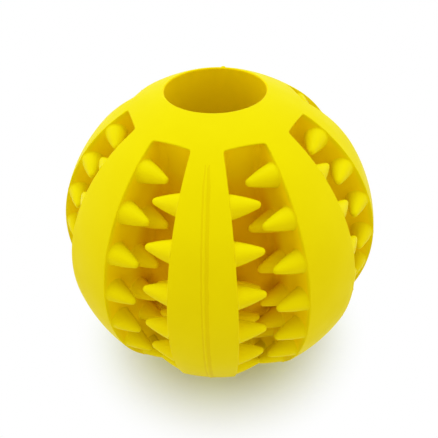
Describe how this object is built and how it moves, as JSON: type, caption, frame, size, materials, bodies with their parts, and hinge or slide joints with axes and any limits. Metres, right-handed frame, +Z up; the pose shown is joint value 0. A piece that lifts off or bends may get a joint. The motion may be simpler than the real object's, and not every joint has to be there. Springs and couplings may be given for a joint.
{
  "type": "treat dispensing ball",
  "caption": "Hollow rubber dog chew ball with a round mouth for treats, and meridian slots between smooth ribs, lined with staggered conical cleaning teeth.",
  "frame": {"origin": "middle of the foot ring that the ball stands on, below the ball's centre", "axes": "+Z up the ball's axis to the mouth, -Y to the front rib on the mould's parting plane"},
  "size_m": [0.07, 0.07, 0.0677],
  "materials": {
    "rubber": "satin yellow natural rubber"
  },
  "bodies": {
    "root": {"core_shell": "rubber", "top_collar": "rubber", "bottom_collar": "rubber", "rib_1": "rubber", "rib_1_left_outer_teeth": "rubber", "rib_1_left_inner_teeth": "rubber", "rib_1_right_outer_teeth": "rubber", "rib_1_right_inner_teeth": "rubber", "rib_2": "rubber", "rib_2_left_outer_teeth": "rubber", "rib_2_left_inner_teeth": "rubber", "rib_2_right_outer_teeth": "rubber", "rib_2_right_inner_teeth": "rubber", "rib_3": "rubber", "rib_3_left_outer_teeth": "rubber", "rib_3_left_inner_teeth": "rubber", "rib_3_right_outer_teeth": "rubber", "rib_3_right_inner_teeth": "rubber", "rib_4": "rubber", "rib_4_left_outer_teeth": "rubber", "rib_4_left_inner_teeth": "rubber", "rib_4_right_outer_teeth": "rubber", "rib_4_right_inner_teeth": "rubber", "rib_5": "rubber", "rib_5_left_outer_teeth": "rubber", "rib_5_left_inner_teeth": "rubber", "rib_5_right_outer_teeth": "rubber", "rib_5_right_inner_teeth": "rubber", "rib_6": "rubber", "rib_6_left_outer_teeth": "rubber", "rib_6_left_inner_teeth": "rubber", "rib_6_right_outer_teeth": "rubber", "rib_6_right_inner_teeth": "rubber", "rib_7": "rubber", "rib_7_left_outer_teeth": "rubber", "rib_7_left_inner_teeth": "rubber", "rib_7_right_outer_teeth": "rubber", "rib_7_right_inner_teeth": "rubber", "rib_8": "rubber", "rib_8_left_outer_teeth": "rubber", "rib_8_left_inner_teeth": "rubber", "rib_8_right_outer_teeth": "rubber", "rib_8_right_inner_teeth": "rubber"}
  },
  "joints": []
}
